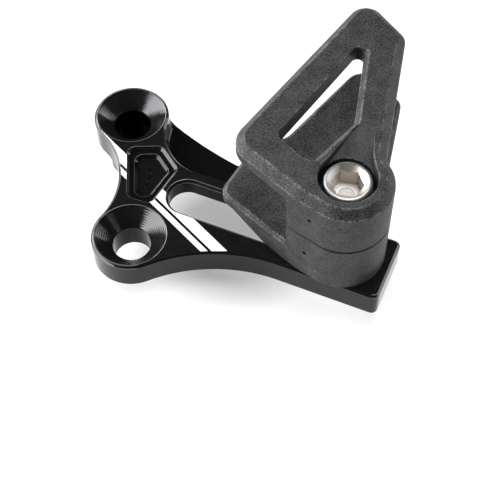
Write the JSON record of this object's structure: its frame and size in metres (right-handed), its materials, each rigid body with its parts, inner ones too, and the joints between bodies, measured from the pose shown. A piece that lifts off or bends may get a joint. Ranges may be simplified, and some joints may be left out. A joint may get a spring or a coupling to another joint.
{
  "type": "bicycle chain guide",
  "caption": "Bolt-on bicycle chain guide: a slotted metal plate carries a moulded cage that keeps the chain on its ring; a clamp screw lets the cage slide and turn.",
  "frame": {"origin": "midway between the two screw holes, at the back face of the mounting plate", "axes": "+Y to the upper screw hole, +Z out of the plate's front face towards the cage, +X to the side that the arm is on"},
  "size_m": [0.0587, 0.0506, 0.0354],
  "materials": {
    "plate_metal": "black anodised, smooth, with white printed stripes",
    "guide_nylon": "fine matt moulded grain",
    "bolt_steel": "bright stainless",
    "nut_steel": "bright zinc plated",
    "insert_nylon": "plain nylon"
  },
  "bodies": {
    "bracket": {"mounting_plate": "plate_metal"},
    "carriage": {"clamp_bolt": "bolt_steel", "lock_nut": "nut_steel", "nut_insert": "insert_nylon"},
    "cage": {"outer_guide": "guide_nylon", "inner_guide": "guide_nylon"}
  },
  "joints": [
    {"name": "cage_slide", "type": "slide", "parent": "bracket", "child": "carriage", "axis": [0.9026, -0.4305, 0], "range_m": [-0.031, 0.0012]},
    {"name": "cage_swing", "type": "hinge", "parent": "carriage", "child": "cage", "pos_m": [0.03786, -0.01919, 0.0165], "axis": [0, 0, 1], "continuous": true}
  ]
}
